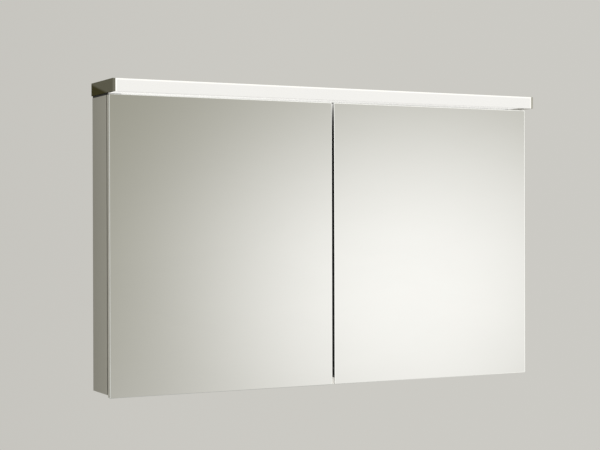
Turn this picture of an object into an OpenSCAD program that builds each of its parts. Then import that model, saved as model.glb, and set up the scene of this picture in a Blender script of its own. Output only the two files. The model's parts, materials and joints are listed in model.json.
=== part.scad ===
// Wall-hung mirror cabinet with two doors and a light canopy over them.
// X runs along the wall, the doors face -Y, Z is up.
// The wall plane is Y = 0 and Z = 0 is the line of the wall screws.

/* [Cabinet] */
// Overall width, over the canopy
cab_w = 1200; // [1000:10:1400]
// Overall height, from the door's lower edge to the canopy's top
cab_h = 750; // [700:5:800]
// Depth of the body, from the wall to the front of the side panels
body_d = 101; // [95:1:120]
// How far the body is set in from the canopy's ends, each side
body_inset = 3; // [2:0.5:6]
// Thickness of the side panels and the centre partition
panel_t = 16; // [14:1:18]
// Thickness of the top and bottom panels
deck_t = 12; // [10:1:14]
// Free space behind the back panel
back_gap = 14; // [13:0.5:16]
// Thickness of the back panel
back_t = 4; // [3:0.5:5]
// Height of the canopy's top over the wall screws
screw_drop = 95; // [90:1:110]

/* [Doors] */
// Gap between the two doors
door_gap = 6.5; // [4:0.5:8]
// Gap between the doors and the front of the body
door_off = 2.5; // [2:0.1:3]
// Thickness of the front mirror
mirror_t = 5; // [4:0.5:6]
// Thickness of the core with the inner mirror on it
core_t = 12.5; // [12:0.5:15]
// Thickness of the inner mirror
inner_t = 3; // [2:0.5:4]
// How far the doors hang below the side panels, as a finger grip
grip = 6.5; // [5:0.5:12]
// Gap over the doors
top_gap = 3; // [2.5:0.5:5]

/* [Light canopy] */
// Height of the canopy
bar_h = 31; // [28:1:36]
// Depth of the canopy, from the wall
bar_d = 155; // [145:1:175]
// Thickness of the polished end plates
cap_t = 6.5; // [4:0.5:8]
// Depth of the white diffuser that wraps the front, over and under
lens_d = 66; // [56:1:70]
// Length of the underside plate with the switch
switch_len = 38; // [32:1:90]

/* [Inside] */
// Thickness of the glass shelves
shelf_t = 5; // [4:0.5:6]
// Depth of the glass shelves
shelf_d = 74; // [60:1:76]
// Hole pitch of the shelf rows
row_pitch = 32; // [24:8:40]

/* [Hidden] */
$fn = 48;
eps = 0.01;
half_w = cab_w / 2;
side_x = half_w - body_inset;          // outer face of the side panels
inner_x = side_x - panel_t;            // inner face of the side panels
bar_top = screw_drop;
bar_bot = bar_top - bar_h;
door_top = bar_bot - top_gap;
door_bot = bar_top - cab_h;
door_h = door_top - door_bot;
door_w = side_x - door_gap / 2;
lid_step = 1.5;                        // side panels end this far under the doors' top
floor_step = 3;                        // bottom panel sits this far up in the side panels
body_top = door_top - lid_step;
body_bot = door_bot + grip;
roof_z = body_top - deck_t;            // underside of the top panel
floor_z = body_bot + floor_step + deck_t; // upper face of the bottom panel
face_y = -body_d;                      // front of the side panels
door_back = face_y - door_off;
core_front = door_back - core_t;
door_front = core_front - mirror_t;
back_front = -(back_gap + back_t);     // front of the back panel
room_h = roof_z - floor_z;
shelf_z = [floor_z + room_h / 3, floor_z + room_h * 2 / 3];
play = 0.05;                           // radial play of running pins

// Canopy
cap_in = half_w - cap_t;               // inner face of the end plates
lens_back = -(bar_d - lens_d);         // back of the white front diffuser
wall_t = 2;                            // wall of the canopy's extrusion
lens_t = 2.5;                          // wall of the front diffuser
slot_y = [-70, -48];                   // slot of the top diffuser, front and back
slot_half = half_w - 40;               // half its length
switch_y = 12.5 - bar_d;               // touchless switch, in front of the doors
switch_r = 4;                          // touchless switch lens
chip = [3.4, 2.8, 0.8];                // light chip, length, width, height
chip_pitch = 26;
function chip_row(half) = [for (k = [-floor(half / chip_pitch) : floor(half / chip_pitch)]) k * chip_pitch];
driver_x = [half_w - 470, half_w - 200];
driver_y = [-43, -5];
foot_x = [80 - half_w, -180, 180, half_w - 80]; // screws that hold the canopy
foot_y = -50;
foot_r = 2.5;
grommet_pos = [half_w - 160, -1, bar_bot + 15]; // where the supply cable comes in
grommet_r = 4;

// Wall rail and hangers
rail_half = half_w - 30;
rail_screw_x = [120 - half_w, -160, 160, half_w - 120];
slot_r = 3.3;
slot_len = 12;
rail_t = 2.5;
hook_x = half_w - 52;                  // middle of a hanger
hook_w = 46;
hang_r = 3;                            // adjusting screws

// Shelf pins
pin_r = 2.5;
pin_y = [-80, -34];
pin_in = 8;                            // length in the panel
pin_out = 7;                           // length under the shelf
row_n = 3;                             // spare holes above and below each pin

// Light in the underside
strip_half = half_w - 55;
strip_y = [-46, -28];
strip_h = 8;

// Sockets
plug_x = [half_w - 187.5, half_w - 112.5];
plug_z = floor_z + 58;
plug_r = 22;

// Hinges. Places in a hinge are counted from the side panel's outer front edge:
// first inwards along the door, then back into the body.
hinge_z = [door_bot + 92, (door_bot + door_top) / 2, door_top - 92];
cup_x = 23.5;                          // middle of a cup
cup_r = 17.5;
cup_d = 11;
cup_t = 1;
rim_t = 0.8;                           // flange of a cup
cup_pin = [12.6, -4.6];                // pin in the cup
arm_pin = [38.3, 0.8];                 // pin in the arm's nose
link_pin_r = 1.2;
eye_r = 2.2;
link_w = 6;                            // half width of a link
cheek_t = 2;
cheek_z = link_w + 0.3;                // the arm's cheeks start here
plate_t = 3;
arm_x = [panel_t + plate_t + 0.2, panel_t + 14];
arm_end = 60;

module box(x0, x1, y0, y1, z0, z1) {
  translate([x0, y0, z0]) cube([x1 - x0, y1 - y0, z1 - z0]);
}
module rod_x(r, x0, x1, y, z) { translate([x0, y, z]) rotate([0, 90, 0]) cylinder(r = r, h = x1 - x0); }
module rod_y(r, y0, y1, x, z) { translate([x, y1, z]) rotate([90, 0, 0]) cylinder(r = r, h = y1 - y0); }
module rod_z(r, z0, z1, x, y) { translate([x, y, z0]) cylinder(r = r, h = z1 - z0); }
// Children are drawn for the left-hand side and mirrored for the right
module side(s) {
  if (s > 0) mirror([1, 0, 0]) children();
  else children();
}
// Profile in the YZ plane, run along X
module run_x(x0, x1) {
  translate([x0, 0, 0]) rotate([90, 0, 90]) linear_extrude(height = x1 - x0) children();
}

// ---- Body ----
module pin_holes(x0, x1) {
  for (z = shelf_z, k = [-row_n : row_n], y = pin_y)
    rod_x(pin_r + play, x0, x1, y, z - pin_r + k * row_pitch);
}
module side_panel(s) {
  side(s) color("gainsboro") difference() {
    box(-side_x, -inner_x, face_y, 0, body_bot, body_top);
    pin_holes(-inner_x - pin_in - 1, -inner_x + 1);
  }
}
module side_panel_left() { side_panel(-1); }
module side_panel_right() { side_panel(1); }
module top_panel() {
  color("gainsboro") difference() {
    box(-inner_x, inner_x, face_y, 0, roof_z, body_top);
    for (x = foot_x) rod_z(foot_r + 0.25, roof_z - 1, body_top + 1, x, foot_y);
  }
}
module bottom_panel() {
  z0 = floor_z - deck_t;
  color("gainsboro") difference() {
    box(-inner_x, inner_x, face_y, 0, z0, floor_z);
    box(-strip_half, strip_half, strip_y[0], strip_y[1], z0 - 1, z0 + strip_h);
  }
}
module centre_partition() {
  x = panel_t / 2;
  color("gainsboro") difference() {
    box(-x, x, face_y, back_front, floor_z, roof_z);
    pin_holes(-x - 1, -x + pin_in - 1);
    mirror([1, 0, 0]) pin_holes(-x - 1, -x + pin_in - 1);
  }
}
module back_panel() {
  color("white") difference() {
    box(-inner_x, inner_x, back_front, -back_gap, floor_z, roof_z);
    for (s = [-1, 1]) rod_y(hang_r + 1, back_front - 1, -back_gap + 1, s * hook_x, 0);
    for (x = plug_x) rod_y(plug_r + 0.5, back_front - 1, -back_gap + 1, x, plug_z);
  }
}

// ---- Hanging ----
module rail_slot(x) {
  for (dx = [-1, 1]) rod_y(slot_r, -rail_t - 1, 1, x + dx * (slot_len / 2 - slot_r), 0);
  box(x - slot_len / 2 + slot_r, x + slot_len / 2 - slot_r, -rail_t - 1, 1, -slot_r, slot_r);
}
module wall_rail() {
  color("silver") difference() {
    run_x(-rail_half, rail_half) polygon([
      [0, -14], [0, 9.5 + rail_t], [-6, 9.5 + rail_t], [-6, 22], [-6 - rail_t, 22],
      [-6 - rail_t, 9.5], [-rail_t, 9.5], [-rail_t, -14]]);
    for (x = rail_screw_x) rail_slot(x);
  }
}
module hanger(s) {
  z1 = 26;
  top_y = -back_gap + 0.5;
  side(s) color("silver") difference() {
    translate([-hook_x - hook_w / 2, 0, 0]) rotate([90, 0, 90]) linear_extrude(height = hook_w)
      polygon([
        [top_y, -22], [top_y, z1], [-3.5, z1], [-3.5, 12.8], [-5.5, 12.8], [-5.5, z1 - 2],
        [top_y + 2, z1 - 2], [top_y + 2, -22]]);
    rod_z(hang_r, z1 - 3, z1 + 1, -hook_x, -8.5);
    rod_y(hang_r, top_y - 1, top_y + 3, -hook_x, 0);
  }
}
module hanger_left() { hanger(-1); }
module hanger_right() { hanger(1); }
module hanger_screws() {
  for (s = [-1, 1]) color("silver") {
    // height screw, stands on the rail's lip
    rod_z(hang_r - play, 22, 31, s * hook_x, -8.5);
    // depth screw, bears on the rail, turned from inside through the back panel
    difference() {
      rod_y(hang_r - play, back_front - 1, -rail_t, s * hook_x, 0);
      rod_y(1.5, back_front - 2, back_front + 3, s * hook_x, 0);
    }
  }
}
module corner_angles() {
  for (s = [-1, 1]) side(s) color("silver") {
    box(-inner_x, -inner_x + 40, -10, -8, floor_z, floor_z + 40);
    box(-inner_x, -inner_x + 2, -8, -1, floor_z, floor_z + 40);
    box(-inner_x + 2, -inner_x + 40, -8, -1, floor_z, floor_z + 2);
  }
}

// ---- Light canopy ----
module light_housing() {
  y0 = lens_back;
  y1 = -1;
  color("silver") difference() {
    union() {
      run_x(-cap_in, cap_in) difference() {
        translate([y0, bar_bot]) square([y1 - y0, bar_h]);
        translate([y0 + wall_t, bar_bot + wall_t]) square([y1 - y0 - 2 * wall_t, bar_h - 2 * wall_t]);
      }
      // channel under the top diffuser
      run_x(-cap_in, cap_in) {
        for (y = [slot_y[0] - 4, slot_y[1] + 2])
          translate([y, bar_top - 13]) square([2, 12]);
        translate([slot_y[0] - 4, bar_top - 13]) square([slot_y[1] - slot_y[0] + 8, wall_t]);
      }
      // threaded collars for the fixing screws
      for (x = foot_x) rod_z(foot_r + 2.5, bar_bot + 1, bar_bot + 8, x, foot_y);
    }
    box(-slot_half, slot_half, slot_y[0], slot_y[1], bar_top - wall_t - 1, bar_top + 1);
    for (x = foot_x) rod_z(foot_r + play, bar_bot - 1, bar_bot + 9, x, foot_y);
    rod_y(grommet_r + 2, -10, 1, grommet_pos[0], grommet_pos[2]);
  }
}
module light_end_cap(s) {
  side(s) color("lightslategray") {
    box(-half_w, -cap_in, -bar_d, -1, bar_bot, bar_top);
    for (y = [lens_back + 8, -20]) rod_x(3, -cap_in - eps, -cap_in + 14, y, bar_bot + bar_h / 2 - 3.5);
  }
}
module light_end_cap_left() { light_end_cap(-1); }
module light_end_cap_right() { light_end_cap(1); }
module light_front_diffuser() {
  color("white") difference() {
    run_x(-cap_in, cap_in) difference() {
      translate([-bar_d, bar_bot]) square([lens_d, bar_h]);
      translate([-bar_d + lens_t, bar_bot + lens_t]) square([lens_d, bar_h - 2 * lens_t]);
    }
    box(cap_in - switch_len, cap_in + 1, -bar_d + lens_t, lens_back + 1,
      bar_bot - 1, bar_bot + lens_t + eps);
  }
}
module light_switch_plate() {
  color("dimgray") difference() {
    box(cap_in - switch_len, cap_in, -bar_d + lens_t, lens_back, bar_bot, bar_bot + wall_t);
    rod_z(switch_r + play, bar_bot - 1, bar_bot + 3, cap_in - switch_len / 2, switch_y);
  }
}
module light_switch_lens() {
  color("black") {
    rod_z(switch_r, bar_bot - 0.6, bar_bot + 5, cap_in - switch_len / 2, switch_y);
    rod_z(switch_r + 2, bar_bot + wall_t, bar_bot + 6, cap_in - switch_len / 2, switch_y);
  }
}
module light_top_diffuser() {
  color("white") box(-slot_half, slot_half, slot_y[0], slot_y[1], bar_top - wall_t, bar_top);
}
module light_board_front() {
  z = bar_bot + bar_h / 2;
  color("ivory") {
    box(-cap_in + 8, cap_in - 8, lens_back - 1.6, lens_back, z - 7, z + 7);
    for (x = chip_row(cap_in - 20)) translate([x, lens_back - 1.6, z])
      box(-chip[0] / 2, chip[0] / 2, -chip[2], 0, -chip[1] / 2, chip[1] / 2);
  }
}
module light_board_top() {
  z = bar_top - 11;
  y = (slot_y[0] + slot_y[1]) / 2;
  color("ivory") {
    box(-slot_half, slot_half, y - 6, y + 6, z, z + 1.6);
    for (x = chip_row(slot_half - 14)) translate([x, y, z + 1.6])
      box(-chip[0] / 2, chip[0] / 2, -chip[1] / 2, chip[1] / 2, 0, chip[2]);
  }
}
module light_driver() {
  z0 = bar_bot + wall_t;
  color("whitesmoke") difference() {
    union() {
      box(driver_x[0], driver_x[1], driver_y[0], driver_y[1], z0, z0 + 16);
      box(driver_x[0] - 12, driver_x[1] + 12, driver_y[0], driver_y[1], z0, z0 + 3);
    }
    for (x = [driver_x[0] - 6, driver_x[1] + 6])
      rod_z(2.2, z0 - 1, z0 + 4, x, (driver_y[0] + driver_y[1]) / 2);
  }
}
module light_spacers() {
  color("dimgray") difference() {
    union() {
      for (y = [-86, -60, -24])
        box(-half_w + 40, half_w - 40, y, y + 20, body_top, bar_bot);
      // the ends close the gap over the side panels
      for (s = [-1, 1]) side(s) box(-side_x + 0.5, -half_w + 41, 2 - body_d, -0.5, body_top, bar_bot);
    }
    for (x = foot_x) rod_z(foot_r + 0.25, body_top - 1, bar_bot + 1, x, foot_y);
  }
}
module light_screws() {
  for (x = foot_x) color("silver") difference() {
    union() {
      rod_z(foot_r, roof_z - eps, bar_bot + 7, x, foot_y);
      rod_z(4.5, roof_z - 3, roof_z, x, foot_y);
    }
    translate([x, foot_y, roof_z - 4]) cylinder(r = 1.8, h = 2.5, $fn = 6);
  }
}
module cable_grommet() {
  color("black") difference() {
    union() {
      rod_y(grommet_r + 2 - play, -8, -0.2, grommet_pos[0], grommet_pos[2]);
      rod_y(grommet_r + 4, -8, -3, grommet_pos[0], grommet_pos[2]);
    }
    rod_y(grommet_r, -9, 1, grommet_pos[0], grommet_pos[2]);
  }
}

// ---- Light in the underside ----
module under_light_channel() {
  z0 = floor_z - deck_t;
  g = 0.1;
  color("silver") difference() {
    box(-strip_half + g, strip_half - g, strip_y[0] + g, strip_y[1] - g, z0, z0 + strip_h - g);
    box(-strip_half + 3, strip_half - 3, strip_y[0] + 1.5, strip_y[1] - 1.5, z0 - 1, z0 + strip_h - 1.5);
  }
}
module under_light_board() {
  z1 = floor_z - deck_t + strip_h - 1.5;
  y = (strip_y[0] + strip_y[1]) / 2;
  color("ivory") {
    box(-strip_half + 5, strip_half - 5, y - 5, y + 5, z1 - 1.2, z1);
    for (x = chip_row(strip_half - 12)) translate([x, y, z1 - 1.2])
      box(-chip[0] / 2, chip[0] / 2, -chip[1] / 2, chip[1] / 2, -chip[2], 0);
  }
}
module under_light_diffuser() {
  z0 = floor_z - deck_t;
  color("white")
    box(-strip_half + 3, strip_half - 3, strip_y[0] + 1.5, strip_y[1] - 1.5, z0, z0 + 1.5);
}

// ---- Inside ----
module shelf(z) {
  x0 = -inner_x + 1;
  x1 = -panel_t / 2 - 1;
  box(x0, x1, back_front - 1 - shelf_d, back_front - 1, z, z + shelf_t);
}
module glass_shelves(s) { side(s) color("paleturquoise") for (z = shelf_z) shelf(z); }
module glass_shelves_left() { glass_shelves(-1); }
module glass_shelves_right() { glass_shelves(1); }
module shelf_pins() {
  color("silver") for (s = [-1, 1]) side(s) for (z = shelf_z, y = pin_y) {
    rod_x(pin_r, -inner_x - pin_in, -inner_x + pin_out, y, z - pin_r);
    rod_x(pin_r, -panel_t / 2 - pin_out, -panel_t / 2 + pin_in - 1.2, y, z - pin_r);
  }
}
module socket_frame() {
  m = (plug_x[0] + plug_x[1]) / 2;
  color("white") difference() {
    box(m - 75, m + 75, back_front - 9, back_front, plug_z - 38, plug_z + 38);
    for (x = plug_x) rod_y(plug_r + play, back_front - 10, back_front + 1, x, plug_z);
  }
}
module socket_inserts() {
  for (x = plug_x) color("whitesmoke") difference() {
    rod_y(plug_r, back_front - 9, -back_gap + 8, x, plug_z);
    rod_y(19.5, back_front - 10, back_front + 7, x, plug_z);
    for (dx = [-9.5, 9.5]) rod_y(2.4, back_front + 6, back_front + 10.5, x + dx, plug_z);
  }
}
module door_stops() {
  color("white") for (x = [-5.5, 5.5], z = [floor_z + 20, roof_z - 20])
    rod_y(2, face_y - door_off + 0.3, face_y, x, z);
}

// ---- Doors ----
// Left door; the right one is its mirror image
door_x0 = -side_x;
door_x1 = -door_gap / 2;
rim_in = 1;                            // edge frame is set in from the mirror's edge
rim_w = 2;                             // wall of the edge frame

module at_hinges(s) { side(s) for (z = hinge_z) translate([-side_x, face_y, z]) children(); }
module door_mirror(s) {
  side(s) color("lightblue") box(door_x0, door_x1, door_front, core_front, door_bot, door_top);
}
module door_frame(s) {
  a = rim_in;
  b = rim_in + rim_w;
  side(s) color("silver") difference() {
    box(door_x0 + a, door_x1 - a, core_front, door_back, door_bot + a, door_top - a);
    box(door_x0 + b, door_x1 - b, core_front - 1, door_back + 1, door_bot + b, door_top - b);
  }
}
module door_core(s) {
  b = rim_in + rim_w;
  difference() {
    side(s) color("whitesmoke")
      box(door_x0 + b, door_x1 - b, core_front, door_back - inner_t, door_bot + b, door_top - b);
    at_hinges(s) {
      rod_y(cup_r + 0.1, -door_off - cup_d - 0.2, 0, cup_x, 0);
      for (z = [-22.5, 22.5]) rod_y(1.5, -door_off - 10, 0, cup_x, z);
    }
  }
}
module inner_mirror(s) {
  b = rim_in + rim_w;
  difference() {
    side(s) color("lightblue")
      box(door_x0 + b, door_x1 - b, door_back - inner_t, door_back, door_bot + b, door_top - b);
    at_hinges(s) {
      rod_y(cup_r + 0.5, -door_off - 5, 0, cup_x, 0);
      for (z = [-22.5, 22.5]) rod_y(2, -door_off - 5, 0, cup_x, z);
    }
  }
}
module hinge_cup() {
  y0 = -door_off;
  difference() {
    union() {
      rod_y(cup_r, y0 - cup_d, y0 + rim_t, cup_x, 0);
      rod_y(cup_r + 1.5, y0, y0 + rim_t, cup_x, 0);
      box(cup_x - 6, cup_x + 6, y0, y0 + rim_t, -27, 27);
    }
    rod_y(cup_r - cup_t, y0 - cup_d + cup_t, y0 + 1, cup_x, 0);
    for (z = [-22.5, 22.5]) rod_y(3.3, y0 - 1, y0 + 1, cup_x, z);
  }
  rod_z(link_pin_r, -13, 13, cup_pin[0], cup_pin[1]);
}
module cup_screw(z) {
  y0 = -door_off;
  difference() {
    union() {
      rod_y(3.2, y0 + eps, y0 + rim_t - 0.1, cup_x, z);
      rod_y(1.4, y0 - 9, y0 + 0.2, cup_x, z);
    }
    for (a = [0, 90])
      translate([cup_x, y0 + rim_t, z]) rotate([0, a, 0]) cube([3.6, 1, 0.8], center = true);
  }
}
module hinge_link() {
  d = arm_pin - cup_pin;
  l = norm(d);
  translate([cup_pin[0], cup_pin[1], -link_w]) rotate([0, 0, atan2(d[1], d[0])]) difference() {
    union() {
      for (x = [0, l]) translate([x, 0, 0]) cylinder(r = eye_r, h = 2 * link_w);
      translate([0, -eye_r + 0.3, 0]) cube([l, eye_r - 0.5, 2 * link_w]);
    }
    for (x = [0, l]) translate([x, 0, -1]) cylinder(r = link_pin_r + play, h = 2 * link_w + 2);
  }
}
module arm_cheek() {
  linear_extrude(height = cheek_t) union() {
    polygon([
      [arm_x[0], arm_end], [arm_x[1], arm_end], [arm_x[1], 16], [arm_pin[0] + eye_r, 4],
      [arm_pin[0] + eye_r, arm_pin[1]], [arm_pin[0] - eye_r, arm_pin[1] - 0.4], [arm_x[0], 14]]);
    translate(arm_pin) circle(r = eye_r);
  }
}
module hinge_arm() {
  t = cheek_t;
  difference() {
    union() {
      for (s = [-1, 1]) translate([0, 0, s > 0 ? cheek_z : -cheek_z - t]) arm_cheek();
      translate([0, 0, -cheek_z - eps]) linear_extrude(height = 2 * cheek_z + 2 * eps) polygon([
        [arm_x[1] - 1.6, arm_end], [arm_x[1], arm_end], [arm_x[1], 16], [arm_pin[0] + eye_r, 4],
        [arm_pin[0] + 0.2, 4], [arm_x[1] - 1.6, 15.6]]);
      rod_z(link_pin_r, -cheek_z - 1, cheek_z + 1, arm_pin[0], arm_pin[1]);
    }
    for (y = [26, 50]) rod_x(2.5 + play, arm_x[1] - 3, arm_x[1] + 1, y, 0);
  }
}
module hinge_plate() {
  box(panel_t, panel_t + plate_t, 30, 46, -24, 24);
  box(panel_t, arm_x[1] - 3.6, 20, 57, -link_w, link_w);
}
module hinge_screw_set() {
  // adjusting screws in the arm
  for (y = [26, 50]) difference() {
    rod_x(2.5, arm_x[1] - 3.6, arm_x[1] + 0.8, y, 0);
    for (a = [0, 90])
      translate([arm_x[1] + 0.8, y, 0]) rotate([a, 0, 0]) cube([1.6, 3.4, 0.7], center = true);
  }
  // screws that hold the plate to the side panel
  for (z = [-17, 17]) difference() {
    rod_x(3.6, panel_t + plate_t, panel_t + plate_t + 1.6, 38, z);
    for (a = [0, 90]) translate([panel_t + plate_t + 1.6, 38, z])
      rotate([a, 0, 0]) cube([1.6, 4, 0.8], center = true);
  }
}
module hinge_screws() { for (s = [-1, 1]) color("silver") at_hinges(s) hinge_screw_set(); }
module hinge_plates(s) { color("silver") at_hinges(s) hinge_plate(); }
module hinge_plates_left() { hinge_plates(-1); }
module hinge_plates_right() { hinge_plates(1); }
module hinge_arms(s) { color("lightgray") at_hinges(s) hinge_arm(); }
module hinge_arms_left() { hinge_arms(-1); }
module hinge_arms_right() { hinge_arms(1); }
module hinge_links(s) { color("gray") at_hinges(s) hinge_link(); }
module hinge_links_left() { hinge_links(-1); }
module hinge_links_right() { hinge_links(1); }
module hinge_cups(s) { color("silver") at_hinges(s) hinge_cup(); }
module hinge_cups_left() { hinge_cups(-1); }
module hinge_cups_right() { hinge_cups(1); }
module cup_screws(s) { color("silver") at_hinges(s) for (z = [-22.5, 22.5]) cup_screw(z); }
module cup_screws_left() { cup_screws(-1); }
module cup_screws_right() { cup_screws(1); }
module door_mirror_left() { door_mirror(-1); }
module door_mirror_right() { door_mirror(1); }
module door_frame_left() { door_frame(-1); }
module door_frame_right() { door_frame(1); }
module door_core_left() { door_core(-1); }
module door_core_right() { door_core(1); }
module inner_mirror_left() { inner_mirror(-1); }
module inner_mirror_right() { inner_mirror(1); }

side_panel_left();
side_panel_right();
top_panel();
bottom_panel();
centre_partition();
back_panel();
wall_rail();
hanger_left();
hanger_right();
hanger_screws();
light_housing();
light_end_cap_left();
light_end_cap_right();
light_front_diffuser();
light_top_diffuser();
light_switch_plate();
light_switch_lens();
light_board_front();
light_board_top();
light_driver();
light_spacers();
light_screws();
cable_grommet();
under_light_channel();
under_light_board();
under_light_diffuser();
glass_shelves_left();
glass_shelves_right();
shelf_pins();
socket_frame();
socket_inserts();
door_stops();
corner_angles();
hinge_plates_left();
hinge_plates_right();
hinge_arms_left();
hinge_arms_right();
hinge_screws();
door_mirror_left();
door_core_left();
door_frame_left();
inner_mirror_left();
hinge_cups_left();
door_mirror_right();
door_core_right();
door_frame_right();
inner_mirror_right();
hinge_cups_right();
cup_screws_left();
cup_screws_right();
hinge_links_left();
hinge_links_right();
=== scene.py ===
import json
import math

import bmesh
import bpy
from mathutils import Euler, Matrix, Vector


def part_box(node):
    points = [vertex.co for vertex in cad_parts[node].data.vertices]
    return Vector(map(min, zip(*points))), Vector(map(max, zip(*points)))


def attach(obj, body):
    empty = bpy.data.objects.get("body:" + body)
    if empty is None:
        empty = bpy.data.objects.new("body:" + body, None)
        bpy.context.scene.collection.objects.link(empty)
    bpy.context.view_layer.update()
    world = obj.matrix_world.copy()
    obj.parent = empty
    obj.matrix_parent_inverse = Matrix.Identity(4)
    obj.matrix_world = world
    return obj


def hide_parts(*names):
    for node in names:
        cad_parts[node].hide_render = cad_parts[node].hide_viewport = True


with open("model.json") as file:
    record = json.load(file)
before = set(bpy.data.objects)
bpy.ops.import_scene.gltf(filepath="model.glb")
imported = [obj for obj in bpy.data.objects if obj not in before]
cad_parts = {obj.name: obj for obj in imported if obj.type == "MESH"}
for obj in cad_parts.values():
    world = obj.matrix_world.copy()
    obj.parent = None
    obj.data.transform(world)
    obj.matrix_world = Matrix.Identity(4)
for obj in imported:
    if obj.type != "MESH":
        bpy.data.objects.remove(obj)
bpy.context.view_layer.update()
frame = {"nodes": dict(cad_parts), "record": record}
NODES = frame["nodes"]
SLOTS = {s["node"]: s["material_slot"] for s in frame["record"]["subparts"]}
LO = {n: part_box(n)[0] for n in NODES}
HI = {n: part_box(n)[1] for n in NODES}
MM = 0.001


# ---------------------------------------------------------------- shader nodes
class Nodes:
    """Short calls that add nodes to a shader tree. A value is a number, a colour or a node's output."""

    def __init__(self, tree):
        self.tree = tree
        tree.nodes.clear()

    def add(self, kind, **settings):
        n = self.tree.nodes.new("ShaderNode" + kind)
        for key, value in settings.items():
            setattr(n, key, value)
        return n

    def feed(self, socket, value):
        if isinstance(value, bpy.types.NodeSocket):
            self.tree.links.new(value, socket)
        else:
            socket.default_value = value

    def math(self, operation, a, b=0.0):
        n = self.add("Math", operation=operation)
        self.feed(n.inputs[0], a)
        self.feed(n.inputs[1], b)
        return n.outputs[0]

    def plus(self, a, b):
        return self.math("ADD", a, b)

    def minus(self, a, b):
        return self.math("SUBTRACT", a, b)

    def times(self, a, b):
        return self.math("MULTIPLY", a, b)

    def absolute(self, a):
        return self.math("ABSOLUTE", a)

    def span(self, value, a, b, c=0.0, d=1.0, smooth=False):
        """Value taken from the range a to b into the range c to d, and held at its ends."""
        n = self.add("MapRange", interpolation_type="SMOOTHSTEP" if smooth else "LINEAR")
        for socket, v in zip(n.inputs, (value, a, b, c, d)):
            self.feed(socket, v)
        return n.outputs[0]

    def mix(self, share, a, b):
        """Colour a where share is 0, b where it is 1."""
        n = self.add("Mix", data_type="RGBA")
        self.feed(n.inputs[0], share)
        self.feed(n.inputs[6], (*a, 1) if isinstance(a, tuple) else a)
        self.feed(n.inputs[7], (*b, 1) if isinstance(b, tuple) else b)
        return n.outputs[2]

    def split(self, vector):
        n = self.add("SeparateXYZ")
        self.feed(n.inputs[0], vector)
        return n.outputs


class Shader(Nodes):
    """A Principled material, and the patterns in front of it. Patterns sit on the part, in metres."""

    def __init__(self, name, base, rough, metallic=0.0, **fixed):
        self.mat = bpy.data.materials.new(name)
        self.mat.use_nodes = True
        super().__init__(self.mat.node_tree)
        self.principled = self.add("BsdfPrincipled")
        self.feed(self.add("OutputMaterial").inputs[0], self.principled.outputs[0])
        self.place = self.add("TexCoord").outputs["Object"]
        self.set("Base Color", (*base, 1))
        self.set("Roughness", rough)
        self.set("Metallic", metallic)
        for key, value in fixed.items():
            self.set(key.replace("_", " "), value)

    def set(self, name, value):
        self.feed(self.principled.inputs[name], value)

    def colour_so_far(self):
        return self.principled.inputs["Base Color"].links[0].from_socket

    def xyz(self):
        return self.split(self.place)

    def stretched(self, scale):
        n = self.add("Mapping")
        n.inputs["Scale"].default_value = scale
        self.feed(n.inputs["Vector"], self.place)
        return n.outputs[0]

    def noise(self, scale, stretch=(1, 1, 1), detail=3.0, rough=0.5, distort=0.0):
        n = self.add("TexNoise")
        n.inputs["Scale"].default_value = scale
        n.inputs["Detail"].default_value = detail
        n.inputs["Roughness"].default_value = rough
        n.inputs["Distortion"].default_value = distort
        self.feed(n.inputs["Vector"], self.stretched(stretch))
        return n.outputs[0]

    def cells(self, scale):
        n = self.add("TexVoronoi")
        n.inputs["Scale"].default_value = scale
        self.feed(n.inputs["Vector"], self.place)
        return n.outputs[0]

    def bump(self, height, distance):
        n = self.add("Bump")
        n.inputs["Strength"].default_value = 1.0
        n.inputs["Distance"].default_value = distance
        self.feed(n.inputs["Height"], height)
        self.set("Normal", n.outputs[0])


def shade(colour, k):
    return tuple(min(1.0, v * k) for v in colour)


# ---------------------------------------------------------------- kinds of material
# Most of a noise pattern's values lie between these two.
NOISE_RANGE = (0.3, 0.7)


def metal(name, base, rough, stretch=None, grain=900.0, depth=6e-6, spread=0.05, cloud=6.0, **fixed):
    """Metal with a cloudy sheen and a fine grain, which stretch draws out into brush lines.

    grain and cloud are noise scales, depth is the grain's relief in metres, and spread is
    how far the grain moves the roughness either way.
    """
    s = Shader(name, base, rough, 1.0, **fixed)
    cloudy = s.noise(cloud, detail=4, rough=0.55)
    colour = s.mix(s.span(cloudy, *NOISE_RANGE), shade(base, 0.965), shade(base, 1.03))
    if stretch:
        fine = s.noise(grain, stretch, detail=2, rough=0.6)
        colour = s.mix(s.span(fine, *NOISE_RANGE, 0.0, 0.5), colour, shade(base, 1.06))
    else:
        fine = s.noise(grain, detail=3, rough=0.6)
    gloss = s.span(fine, *NOISE_RANGE, rough - spread, rough + spread)
    if stretch:
        gloss = s.plus(gloss, s.span(cloudy, *NOISE_RANGE, -0.03, 0.03))
    s.bump(fine, depth)
    s.set("Base Color", colour)
    s.set("Roughness", gloss)
    return s


def coated(name, base, rough, grain=1400.0, depth=8e-6, **fixed):
    """A smooth painted or moulded surface: fine orange peel and faint unevenness."""
    s = Shader(name, base, rough, 0.0, **fixed)
    cloudy = s.noise(5.0, detail=4, rough=0.6)
    s.set("Base Color", s.mix(s.span(cloudy, *NOISE_RANGE), shade(base, 0.975), shade(base, 1.02)))
    fine = s.noise(grain, detail=2)
    s.bump(fine, depth)
    peel = s.span(fine, *NOISE_RANGE, rough - 0.04, rough + 0.04)
    s.set("Roughness", s.plus(peel, s.span(cloudy, *NOISE_RANGE, -0.03, 0.03)))
    return s


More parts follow.
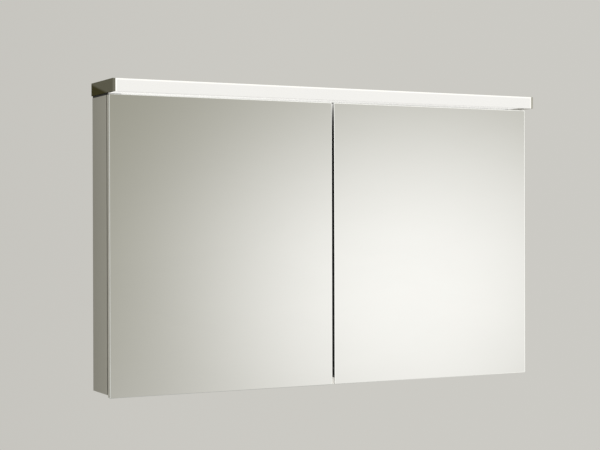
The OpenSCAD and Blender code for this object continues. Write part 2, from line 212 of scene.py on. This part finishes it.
def silvered(name, tint, smear):
    """Silvered glass: clean, with a very faint cloud of wiping marks."""
    s = Shader(name, tint, 0.012, 1.0)
    wipe = s.noise(3.2, (1.0, 1.0, 2.6), detail=5, rough=0.62, distort=0.7)
    s.set("Base Color", s.mix(s.span(wipe, 0.35, 0.75), tint, shade(tint, 0.985)))
    s.set("Roughness", s.span(wipe, 0.45, 0.8, 0.010, smear))
    return s


def glass_edge(name, base):
    """The ground and polished edge of a glass pane, with fine grinding lines."""
    s = Shader(name, base, 0.16, 0.0, IOR=1.5, Coat_Weight=0.6, Coat_Roughness=0.05)
    lines = s.noise(260.0, (1, 1, 0.12), detail=2)
    s.set("Base Color", s.mix(s.span(lines, *NOISE_RANGE), shade(base, 0.86), shade(base, 1.06)))
    s.bump(lines, 1.2e-5)
    s.set("Roughness", s.span(lines, *NOISE_RANGE, 0.10, 0.24))
    return s


# ---------------------------------------------------------------- metals
# The canopy's light, on its own rim and where it falls on what is close to it.
SPILL = (1.0, 0.985, 0.94)


def panel_alu():
    """Side panels: brushed upright, with painted shade making them a little darker towards the wall."""
    s = metal("panel_alu", (0.482, 0.475, 0.430), 0.44, (1.0, 1.0, 0.012),
              grain=1500.0, depth=4e-6, cloud=3.0)
    # Painted shade: the panel darkens towards the wall.
    depth = s.span(s.xyz()[1], LO["side_panel_left"].y, 0.0)
    s.set("Base Color", s.mix(s.times(depth, 0.16), s.colour_so_far(), (0.05, 0.045, 0.035)))
    return s


def closing_side(s, dark):
    """The door sides that meet: painted shade darkens a strip down the gap, painted light from the canopy
    fades down it from the top, and a pale patch at the bottom glows with painted light.
    """
    x, _, z = s.xyz()
    bottom, top = LO["door_mirror_left"].z, HI["door_mirror_left"].z
    near = s.span(s.absolute(x), 4.5 * MM, 6.2 * MM, 1.0, 0.0, smooth=True)
    low = s.span(z, bottom + 16.5 * MM, bottom + 18.5 * MM, 1.0, 0.0, smooth=True)
    # Down the closing strip: painted shade, and at its foot a pale patch of painted light.
    corner = s.times(near, low)
    gap_shade_mask = s.minus(near, corner)
    s.set("Metallic", s.span(near, 0, 1, s.principled.inputs["Metallic"].default_value, 0.0))
    s.set("Base Color", s.mix(corner, s.mix(gap_shade_mask, s.colour_so_far(), dark), (0.80, 0.79, 0.76)))
    # Painted light from the canopy, fading down the strip from the top, and a glow on the pale patch at the
    # foot.
    fade_length = 20 * MM
    canopy_spill = s.math("EXPONENT", s.times(s.minus(top, z), -1 / fade_length))
    s.set("Emission Color", (*SPILL, 1))
    s.set("Emission Strength", s.plus(s.times(s.times(canopy_spill, 0.62), near), s.times(corner, 0.22)))


def frame_alu():
    s = metal("frame_alu", (0.64, 0.633, 0.585), 0.44, (0.02, 1.0, 0.02),
              grain=1300.0, depth=4e-6, cloud=4.0)
    # Near-black painted shade down the gap between the doors.
    closing_side(s, (0.014, 0.014, 0.013))
    return s


def polished_cap():
    """End plates: polished, with their sides painted dark as a painted reflection of shade, darkest low
    down at the back, and painted highlights on their pale front edges, the right one palest.
    """
    s = metal("cap_polished", (0.56, 0.545, 0.48), 0.14, (1.0, 0.03, 1.0), grain=1600.0,
              depth=2e-6, spread=0.03, cloud=9.0, Specular_Tint=(0.45, 0.44, 0.36, 1))
    lo, hi = LO["light_end_cap_left"], HI["light_end_cap_left"]
    x, y, z = s.xyz()
    # Height counts from 0 to 1 over the plate, and the way forward as much again every 125 mm.
    high = s.span(z, lo.z, hi.z)
    forward = s.times(y, -1 / 0.125)
    # Painted reflection of shade, darkest low down at the back of the side.
    shade_reflection = s.span(s.plus(high, forward), 0.78, 1.02, 1.0, 0.0, smooth=True)
    side = s.mix(shade_reflection, (0.280, 0.277, 0.248), (0.105, 0.100, 0.076))
    # Painted highlight on the front edge, paler on the right plate.
    front_highlight = s.span(y, lo.y + 0.2 * MM, lo.y + 0.7 * MM, 1.0, 0.0, smooth=True)
    across = s.span(x, lo.x, -lo.x)
    s.set("Base Color", s.mix(front_highlight, side, s.mix(across, (0.42, 0.415, 0.37), (0.72, 0.71, 0.66))))
    return s


def zinc():
    s = metal("zinc", (0.60, 0.615, 0.63), 0.40, grain=500.0, spread=0.06, cloud=30.0)
    spangle = s.span(s.cells(150.0), 0.0, 0.6)
    s.set("Base Color", s.mix(spangle, (0.635, 0.65, 0.665), (0.575, 0.59, 0.605)))
    return s


# ---------------------------------------------------------------- rubber, foam and board
def rubber():
    s = Shader("rubber", (0.03, 0.03, 0.031), 0.72)
    dust = s.noise(240.0, detail=4, rough=0.7)
    s.set("Base Color", s.mix(s.span(dust, 0.4, 0.75), (0.022, 0.022, 0.023), (0.055, 0.054, 0.052)))
    s.bump(dust, 2.5e-5)
    return s


def foam():
    """The strips under the canopy, with its light painted on their front: paler towards the right, and
    glowing in the door gap and at the right end.
    """
    s = Shader("foam_strip", (0.05, 0.05, 0.05), 0.85)
    pores = s.noise(900.0, detail=4, rough=0.7)
    x, y, _ = s.xyz()
    front = LO["light_spacers"].y
    facing = s.span(y, front + 0.5 * MM, front + 3.0 * MM, 1.0, 0.0)
    # Painted light: the front face grows paler towards the right.
    lit_rightward = s.times(facing, s.span(x, -0.3, 0.5))
    tone = s.mix(lit_rightward, (0.030, 0.030, 0.029), (0.50, 0.50, 0.485))
    s.set("Base Color", s.mix(s.span(pores, 0.35, 0.7, 0.0, 0.5), tone, (0.02, 0.02, 0.02)))
    # Painted light glowing on the front in the door gap and at the right end.
    in_gap = s.span(s.absolute(x), 8 * MM, 10 * MM, 0.45, 0.0)
    right_end = s.span(x, 0.38, 0.54, 0.0, 0.62)
    s.set("Emission Color", (*SPILL, 1))
    s.set("Emission Strength", s.times(facing, s.plus(in_gap, right_end)))
    s.bump(pores, 4e-5)
    return s


def core_board():
    s = Shader("core_board", (0.72, 0.70, 0.64), 0.55)
    grain = s.noise(38.0, (1.0, 1.0, 0.10), detail=5, rough=0.6, distort=0.4)
    s.set("Base Color", s.mix(s.span(grain, *NOISE_RANGE), (0.74, 0.70, 0.61), (0.62, 0.57, 0.47)))
    s.bump(grain, 3e-5)
    return s


# ---------------------------------------------------------------- glass
def shelf_glass():
    clear = (0.955, 0.985, 0.972)
    s = Shader("shelf_glass", clear, 0.0, 0.0, IOR=1.52, Transmission_Weight=1.0)
    haze = s.noise(18.0, detail=5, rough=0.7, distort=0.5)
    s.set("Roughness", s.span(haze, 0.5, 0.85, 0.004, 0.05))
    s.set("Base Color", s.mix(s.span(haze, 0.4, 0.8), clear, (0.93, 0.965, 0.95)))
    return s


# Near-black painted shade for the glass edges in the gap where the doors meet.
PAINTED_GAP_SHADE = (0.014, 0.016, 0.015)


def mirror_facet():
    """The bevel round each mirror, with a painted highlight that glows more to the right and least along
    the bottom, and painted shade where the doors meet.
    """
    s = glass_edge("mirror_facet", (0.60, 0.62, 0.60))
    x, _, z = s.xyz()
    from_middle = s.absolute(x)
    # Where the doors meet the bevel gets no painted highlight and is painted dark in shade.
    lit = s.span(from_middle, 3.6 * MM, 3.8 * MM)
    inner = s.span(from_middle, 6 * MM, 8 * MM, 0.28, 0.0)
    outer = s.span(x, 0.590, 0.592, 0.0, 0.5)
    # Painted highlight: stronger to the right, beside the middle gap and at the right door's outer edge.
    glow = s.plus(s.span(x, -0.6, -0.05, 0.27, 0.74), s.plus(inner, outer))
    # Along the bottom the painted highlight is faint, rising to the right.
    bottom = LO["door_mirror_left"].z
    at_bottom = s.span(z, bottom + 1.2 * MM, bottom + 1.8 * MM, 1.0, 0.0)
    glow = s.span(at_bottom, 0.0, 1.0, glow, s.span(x, 0.0, 0.6, 0.03, 0.65))
    s.set("Emission Color", (1.0, 0.99, 0.95, 1))
    s.set("Emission Strength", s.times(lit, glow))
    s.set("Base Color", s.mix(lit, PAINTED_GAP_SHADE, s.colour_so_far()))
    return s


def mirror_side():
    s = glass_edge("mirror_side", (0.36, 0.38, 0.35))
    # Painted shade and painted light in the gap where the doors meet, as on the frames.
    closing_side(s, PAINTED_GAP_SHADE)
    return s


# ---------------------------------------------------------------- lit diffusers and light boards
WARM = (1.0, 0.990, 0.968)


def opal(name, light, strength, edges=None):
    """Opal acrylic lit from inside. edges is a function of (shader, tone, power) that varies the light."""
    s = Shader(name, (0.45, 0.45, 0.445), 0.32, 0.0, IOR=1.49)
    cloudy = s.noise(7.0)
    tone = s.mix(s.span(cloudy, *NOISE_RANGE), light, shade(light, 0.99))
    power = s.times(s.span(cloudy, 0.25, 0.75, 0.985, 1.015), strength)
    if edges:
        tone, power = edges(s, tone, power)
    s.set("Emission Color", tone)
    s.set("Emission Strength", power)
    fine = s.noise(2200.0, detail=2)
    s.bump(fine, 5e-6)
    s.set("Roughness", s.span(fine, *NOISE_RANGE, 0.28, 0.38))
    return s


def front_edges(s, tone, power):
    """The front diffuser: a brighter rim on top and at both ends, and an uneven underside."""
    low, high = LO["light_front_diffuser"], HI["light_front_diffuser"]
    rim_width = 4.5 * MM
    full = 0.35 * rim_width
    x, y, z = s.xyz()
    top = s.span(z, high.z - rim_width, high.z - full, smooth=True)
    ends = s.span(s.absolute(x), high.x - rim_width, high.x - full, smooth=True)
    rim = s.math("MAXIMUM", top, ends)
    tone = s.mix(rim, tone, SPILL)
    power = s.times(power, s.span(rim, 0, 1, 1.0, 1.35))
    under = s.span(z, low.z + 0.3 * MM, low.z + 1.2 * MM, 1.0, 0.0, smooth=True)
    at_back = s.span(x, -0.4, 0.2, 0.22, -0.08)
    change = s.span(y, low.y, low.y + 30 * MM, -0.22, at_back)
    return tone, s.times(power, s.plus(1.0, s.times(under, change)))


def circuit_board(name, chips_above=None):
    """White solder mask with copper shining through, and amber light chips above the height given.

    Without a height the whole board is in the chips' amber.
    """
    base = (0.86, 0.86, 0.80)
    s = Shader(name, base, 0.42, 0.0)
    cloudy = s.noise(120.0)
    mask = s.mix(s.span(cloudy, 0.45, 0.6), base, (0.80, 0.77, 0.66))
    chip = 1.0 if chips_above is None else s.math("GREATER_THAN", s.xyz()[2], chips_above)
    s.set("Base Color", s.mix(chip, mask, (0.93, 0.74, 0.28)))
    s.set("Emission Color", (1.0, 0.86, 0.62, 1))
    s.set("Emission Strength", s.times(chip, 2.0))
    s.bump(cloudy, 1e-5)
    s.set("Roughness", s.span(chip, 0, 1, 0.42, 0.25))
    return s


# ---------------------------------------------------------------- which material goes where
# Just above the top board's face, where its chips begin.
CHIPS_ABOVE = HI["light_board_top"].z - 0.7 * MM
M = {
    "panel_alu": panel_alu(),
    "long_alu": metal("long_alu", (0.60, 0.595, 0.565), 0.36, (0.010, 1.0, 1.0),
                      grain=1500.0, depth=4e-6, cloud=3.0),
    "frame_alu": frame_alu(),
    "cap": polished_cap(),
    "nickel": metal("nickel", (0.72, 0.71, 0.685), 0.24, grain=1500.0, depth=2e-6, spread=0.03,
                    cloud=40.0),
    "zinc": zinc(),
    "white_board": coated("white_board", (0.80, 0.80, 0.775), 0.40, grain=1100.0, depth=1.2e-5),
    "back_board": coated("back_board", (0.83, 0.83, 0.81), 0.46, grain=700.0, depth=1.4e-5),
    "white_plastic": coated("white_plastic", (0.86, 0.86, 0.845), 0.24, grain=2400.0, depth=4e-6,
                            Coat_Weight=0.25),
    "driver": coated("driver_case", (0.80, 0.80, 0.79), 0.52, grain=900.0, depth=3e-5),
    "clear": coated("clear_stop", (0.80, 0.82, 0.82), 0.22, grain=1500.0, depth=5e-6),
    "lens": coated("black_lens", (0.012, 0.012, 0.013), 0.10, grain=2600.0, depth=2e-6,
                   Coat_Weight=0.5),
    "rubber": rubber(),
    "foam": foam(),
    "core": core_board(),
    "shelf": shelf_glass(),
    "shelf_edge": glass_edge("shelf_edge", (0.34, 0.60, 0.50)),
    "mirror": silvered("mirror_face", (0.930, 0.932, 0.925), 0.022),
    "mirror_in": silvered("mirror_inner", (0.905, 0.915, 0.905), 0.03),
    "mirror_facet": mirror_facet(),
    "mirror_side": mirror_side(),
    "opal": opal("opal_front", WARM, 0.575, front_edges),
    "opal_top": opal("opal_top", WARM, 0.95),
    "opal_under": opal("opal_under", (1.0, 0.97, 0.90), 1.2),
    "board_front": circuit_board("board_front"),
    "board_top": circuit_board("board_top", CHIPS_ABOVE),
    "board_under": circuit_board("board_under"),
}
BY_SLOT = {
    "satin_aluminium": "frame_alu", "inner_panel": "white_board", "polished_cap": "cap",
    "opal_lit": "opal", "front_mirror": "mirror", "inner_mirror": "mirror_in",
    "core_board": "core", "shelf_glass": "shelf", "hinge_nickel": "nickel",
    "zinc_steel": "zinc", "board_white": "board_front", "driver_case": "driver",
    "black_rubber": "rubber", "clear_stop": "clear", "white_plastic": "white_plastic",
    "black_lens": "lens",
}
BY_NODE = {
    "side_panel_left": "panel_alu", "side_panel_right": "panel_alu",
    "light_housing": "long_alu", "under_light_channel": "long_alu",
    "light_switch_plate": "long_alu", "light_spacers": "foam", "back_panel": "back_board",
    "light_top_diffuser": "opal_top", "under_light_diffuser": "opal_under",
    "light_board_top": "board_top", "under_light_board": "board_under",
}
for name, o in NODES.items():
    o.data.materials.clear()
    o.data.materials.append(M[BY_NODE.get(name, BY_SLOT[SLOTS[name]])].mat)


# ---------------------------------------------------------------- soft edges on the CAD nodes
def soften(name, width):
    """Merge the facets of flat faces, round the sharp edges and shade the rest smoothly."""
    o = NODES[name]
    weld = o.modifiers.new("weld", "WELD")
    weld.merge_threshold = 0.002 * MM
    flat = o.modifiers.new("flat", "DECIMATE")
    flat.decimate_type = "DISSOLVE"
    flat.angle_limit = math.radians(0.6)
    edge = o.modifiers.new("edge", "BEVEL")
    edge.width = width
    edge.segments = 2
    edge.limit_method = "ANGLE"
    edge.angle_limit = math.radians(40)
    normals = o.modifiers.new("shade", "WEIGHTED_NORMAL")
    normals.weight = 60
    for face in o.data.polygons:
        face.use_smooth = True


# In millimetres.
EDGE_WIDTH = {
    "side_panel_left": 0.8, "side_panel_right": 0.8, "top_panel": 0.5, "bottom_panel": 0.5,
    "centre_partition": 0.6, "light_end_cap_left": 0.5, "light_end_cap_right": 0.5,
    "light_front_diffuser": 0.7, "light_top_diffuser": 0.3, "light_housing": 0.35,
    "light_spacers": 0.4, "light_switch_plate": 0.3, "light_driver": 1.0,
    "under_light_channel": 0.3, "under_light_diffuser": 0.3, "wall_rail": 0.35,
    "hanger_left": 0.35, "hanger_right": 0.35, "corner_angles": 0.3,
    "door_frame_left": 0.3, "door_frame_right": 0.3, "socket_frame": 1.6,
    "hinge_plates_left": 0.4, "hinge_plates_right": 0.4,
}
for name, width in EDGE_WIDTH.items():
    soften(name, width * MM)


# ---------------------------------------------------------------- mirrors and shelves
def slab(name, lo, hi, bevel, segments, mats, axis, body="cabinet"):
    """A pane with bevelled edges. mats are for its faces along axis, its bevels and its sides."""
    bm = bmesh.new()
    bmesh.ops.create_cube(bm, size=1.0)
    size, middle = hi - lo, (hi + lo) / 2
    for v in bm.verts:
        v.co = Vector((v.co.x * size.x, v.co.y * size.y, v.co.z * size.z)) + middle
    bmesh.ops.bevel(bm, geom=list(bm.edges), offset=bevel, segments=segments, profile=0.5,
                    affect="EDGES", clamp_overlap=True)
    bm.normal_update()
    for face in bm.faces:
        facing = abs(face.normal[axis])
        face.material_index = 0 if facing > 0.999 else 1 if facing > 0.05 else 2
        face.smooth = True
    mesh = bpy.data.meshes.new(name)
    bm.to_mesh(mesh)
    bm.free()
    for key in mats:
        mesh.materials.append(M[key].mat)
    o = bpy.data.objects.new(name, mesh)
    bpy.context.scene.collection.objects.link(o)
    o.modifiers.new("shade", "WEIGHTED_NORMAL").weight = 80
    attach(o, body)
    return o


def mirror(side):
    """The pane of one door."""
    node = f"door_mirror_{side}"
    mats = ("mirror", "mirror_facet", "mirror_side")
    o = slab(f"mirror_glass_{side}", LO[node], HI[node], 1.2 * MM, 2, mats, 1, f"{side}_door")
    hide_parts(node)


def shelves(side):
    """The two glass shelves of one bay, at the bottom and the top of their CAD node's box."""
    node = f"glass_shelves_{side}"
    lo, hi = LO[node], HI[node]
    thick = 5.0 * MM
    mats = ("shelf", "shelf_edge", "shelf_edge")
    lower_top = Vector((hi.x, hi.y, lo.z + thick))
    upper_bottom = Vector((lo.x, lo.y, hi.z - thick))
    lower = slab(f"shelf_lower_{side}", lo, lower_top, 1.0 * MM, 3, mats, 2)
    upper = slab(f"shelf_upper_{side}", upper_bottom, hi, 1.0 * MM, 3, mats, 2)
    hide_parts(node)


for side in ("left", "right"):
    mirror(side)
    shelves(side)


# ---------------------------------------------------------------- studio
# The paper's brightness goes by direction from here: azimuth 0 is in front, 90 to the right.
CENTRE = Vector((0.0, -0.1, -0.3))
# The paper's colour round the horizon, by azimuth in degrees.
HORIZON = [
    (-180, (0.56, 0.55, 0.515)), (-150, (0.50, 0.49, 0.445)), (-115, (0.54, 0.53, 0.49)),
    (-80, (0.56, 0.552, 0.52)), (-30, (0.56, 0.552, 0.52)), (70, (0.58, 0.572, 0.54)),
    (120, (0.60, 0.592, 0.56)), (150, (0.60, 0.59, 0.552)), (180, (0.56, 0.55, 0.515)),
]
# Its colour below and above, with the elevations between which that fades in.
FLOOR, FLOOR_FADE = (0.70, 0.69, 0.66), (-18.0, -62.0)
CEILING, CEILING_FADE = (0.62, 0.612, 0.585), (14.0, 60.0)
# A darker patch in front, which gives the upper left of the doors its depth. AT and HALF
# are azimuth and elevation, in degrees: its middle, and half its width and height.
CARD = (0.315, 0.307, 0.248)
CARD_AT, CARD_HALF = (25.0, 2.0), (34.0, 15.0)
# A soft glow over it, to the right, which the doors mirror. Slant tilts its outline.
GLOW = (1.005, 0.996, 0.96)
GLOW_AT, GLOW_HALF = (33.4, -3.75), (14.2, 12.35)
GLOW_SLANT, GLOW_POWER = -0.0615, 1.133


def bowl():
    """A floor that curves up into the walls without a corner."""
    floor_z, flat, bend, top = -3.2, 4.6, 4.4, 8.0
    arc, sides = 16, 96
    angles = [math.pi / 2 * i / arc for i in range(1, arc + 1)]
    outline = [(flat * 0.5, floor_z), (flat, floor_z)]
    outline += [(flat + bend * math.sin(a), floor_z + bend * (1 - math.cos(a))) for a in angles]
    outline += [(flat + bend, floor_z + bend + 2), (flat + bend, top)]
    turns = [2 * math.pi * i / sides for i in range(sides)]
    verts = [(0, 0, floor_z)]
    verts += [(r * math.cos(a), r * math.sin(a), z) for r, z in outline for a in turns]
    faces = [(0, 1 + i, 1 + (i + 1) % sides) for i in range(sides)]
    for ring in range(len(outline) - 1):
        inner = 1 + ring * sides
        outer = inner + sides
        for i in range(sides):
            j = (i + 1) % sides
            faces.append((inner + i, outer + i, outer + j, inner + j))
    mesh = bpy.data.meshes.new("floor")
    mesh.from_pydata(verts, [], faces)
    for face in mesh.polygons:
        face.use_smooth = True
    o = bpy.data.objects.new("floor", mesh)
    bpy.context.scene.collection.objects.link(o)
    return o


def direction(n):
    """Azimuth and elevation, in degrees, of a place on the paper as seen from CENTRE."""
    away = n.add("VectorMath", operation="SUBTRACT")
    n.feed(away.inputs[0], n.add("NewGeometry").outputs["Position"])
    n.feed(away.inputs[1], CENTRE)
    unit = n.add("VectorMath", operation="NORMALIZE")
    n.feed(unit.inputs[0], away.outputs[0])
    x, y, z = n.split(unit.outputs[0])
    degrees = 180 / math.pi
    azimuth = n.times(n.math("ARCTAN2", x, n.times(y, -1.0)), degrees)
    return azimuth, n.times(n.math("ARCSINE", z), degrees)


def horizon(n, azimuth):
    ramp = n.add("ValToRGB")
    ramp.color_ramp.interpolation = "EASE"
    stops = ramp.color_ramp.elements
    stops.remove(stops[-1])
    for i, (degrees, colour) in enumerate(HORIZON):
        stop = stops[0] if i == 0 else stops.new((degrees + 180) / 360)
        stop.position = (degrees + 180) / 360
        stop.color = (*colour, 1)
    n.feed(ramp.inputs[0], n.math("DIVIDE", n.plus(azimuth, 180.0), 360.0))
    return ramp.outputs[0]


def offsets(n, azimuth, elevation, at, half):
    """How far a direction is from at, counted in halves of the patch's width and height."""
    return (n.math("DIVIDE", n.minus(azimuth, at[0]), half[0]),
            n.math("DIVIDE", n.minus(elevation, at[1]), half[1]))


def studio_paper():
    mat = bpy.data.materials.new("studio_paper")
    mat.use_nodes = True
    n = Nodes(mat.node_tree)
    paper = n.add("Emission")
    n.feed(n.add("OutputMaterial").inputs[0], paper.outputs[0])
    azimuth, elevation = direction(n)

    fade_start, fade_end = FLOOR_FADE
    below = n.span(elevation, fade_end, fade_start, 1.0, 0.0, smooth=True)
    tone = n.mix(below, horizon(n, azimuth), FLOOR)
    tone = n.mix(n.span(elevation, *CEILING_FADE, smooth=True), tone, CEILING)

    a, b = (n.math("POWER", n.absolute(v), 4.0) for v in offsets(n, azimuth, elevation, CARD_AT, CARD_HALF))
    tone = n.mix(n.math("EXPONENT", n.times(n.plus(a, b), -1.0)), tone, CARD)

    a, b = offsets(n, azimuth, elevation, GLOW_AT, GLOW_HALF)
    reach = n.plus(n.times(a, a), n.times(b, b))
    reach = n.plus(reach, n.times(n.times(a, b), GLOW_SLANT))
    reach = n.math("POWER", n.math("MAXIMUM", reach, 1e-6), GLOW_POWER)
    tone = n.mix(n.math("EXPONENT", n.times(reach, -1.0)), tone, GLOW)
    n.feed(paper.inputs[0], tone)
    return mat


def softbox(name, place, size, watts):
    lamp = bpy.data.lights.new(name, "AREA")
    lamp.shape = "RECTANGLE"
    lamp.size, lamp.size_y = size
    lamp.energy = watts
    lamp.color = (1.0, 0.985, 0.96)
    o = bpy.data.objects.new(name, lamp)
    o.location = place
    towards_cabinet = Vector((0, 0, -0.3)) - Vector(place)
    o.rotation_euler = towards_cabinet.to_track_quat("-Z", "Y").to_euler()
    bpy.context.scene.collection.objects.link(o)


room = bowl()
room.data.materials.append(studio_paper())
softbox("softbox_high", (1.2, -3.4, 4.2), (3.4, 2.2), 60)
softbox("softbox_back", (-2.2, 3.2, 3.4), (2.6, 2.0), 40)

world = bpy.data.worlds.new("studio")
world.use_nodes = True
bpy.context.scene.world = world
background = world.node_tree.nodes["Background"]
background.inputs["Color"].default_value = (0.72, 0.71, 0.69, 1)
background.inputs["Strength"].default_value = 0.8


# ---------------------------------------------------------------- camera
cam_data = bpy.data.cameras.new("camera")
cam_data.sensor_width = 36.0
cam_data.lens = 83.56
cam = bpy.data.objects.new("camera", cam_data)
place = Vector((-1.692, -3.231, -0.2345))
tilt, roll, turn = (math.radians(a) for a in (89.761, 0.144, -27.183))
cam.matrix_world = Matrix.LocRotScale(place, Euler((tilt, roll, turn)), None)
bpy.context.scene.collection.objects.link(cam)
bpy.context.scene.camera = cam
bpy.context.scene.view_settings.view_transform = "Standard"
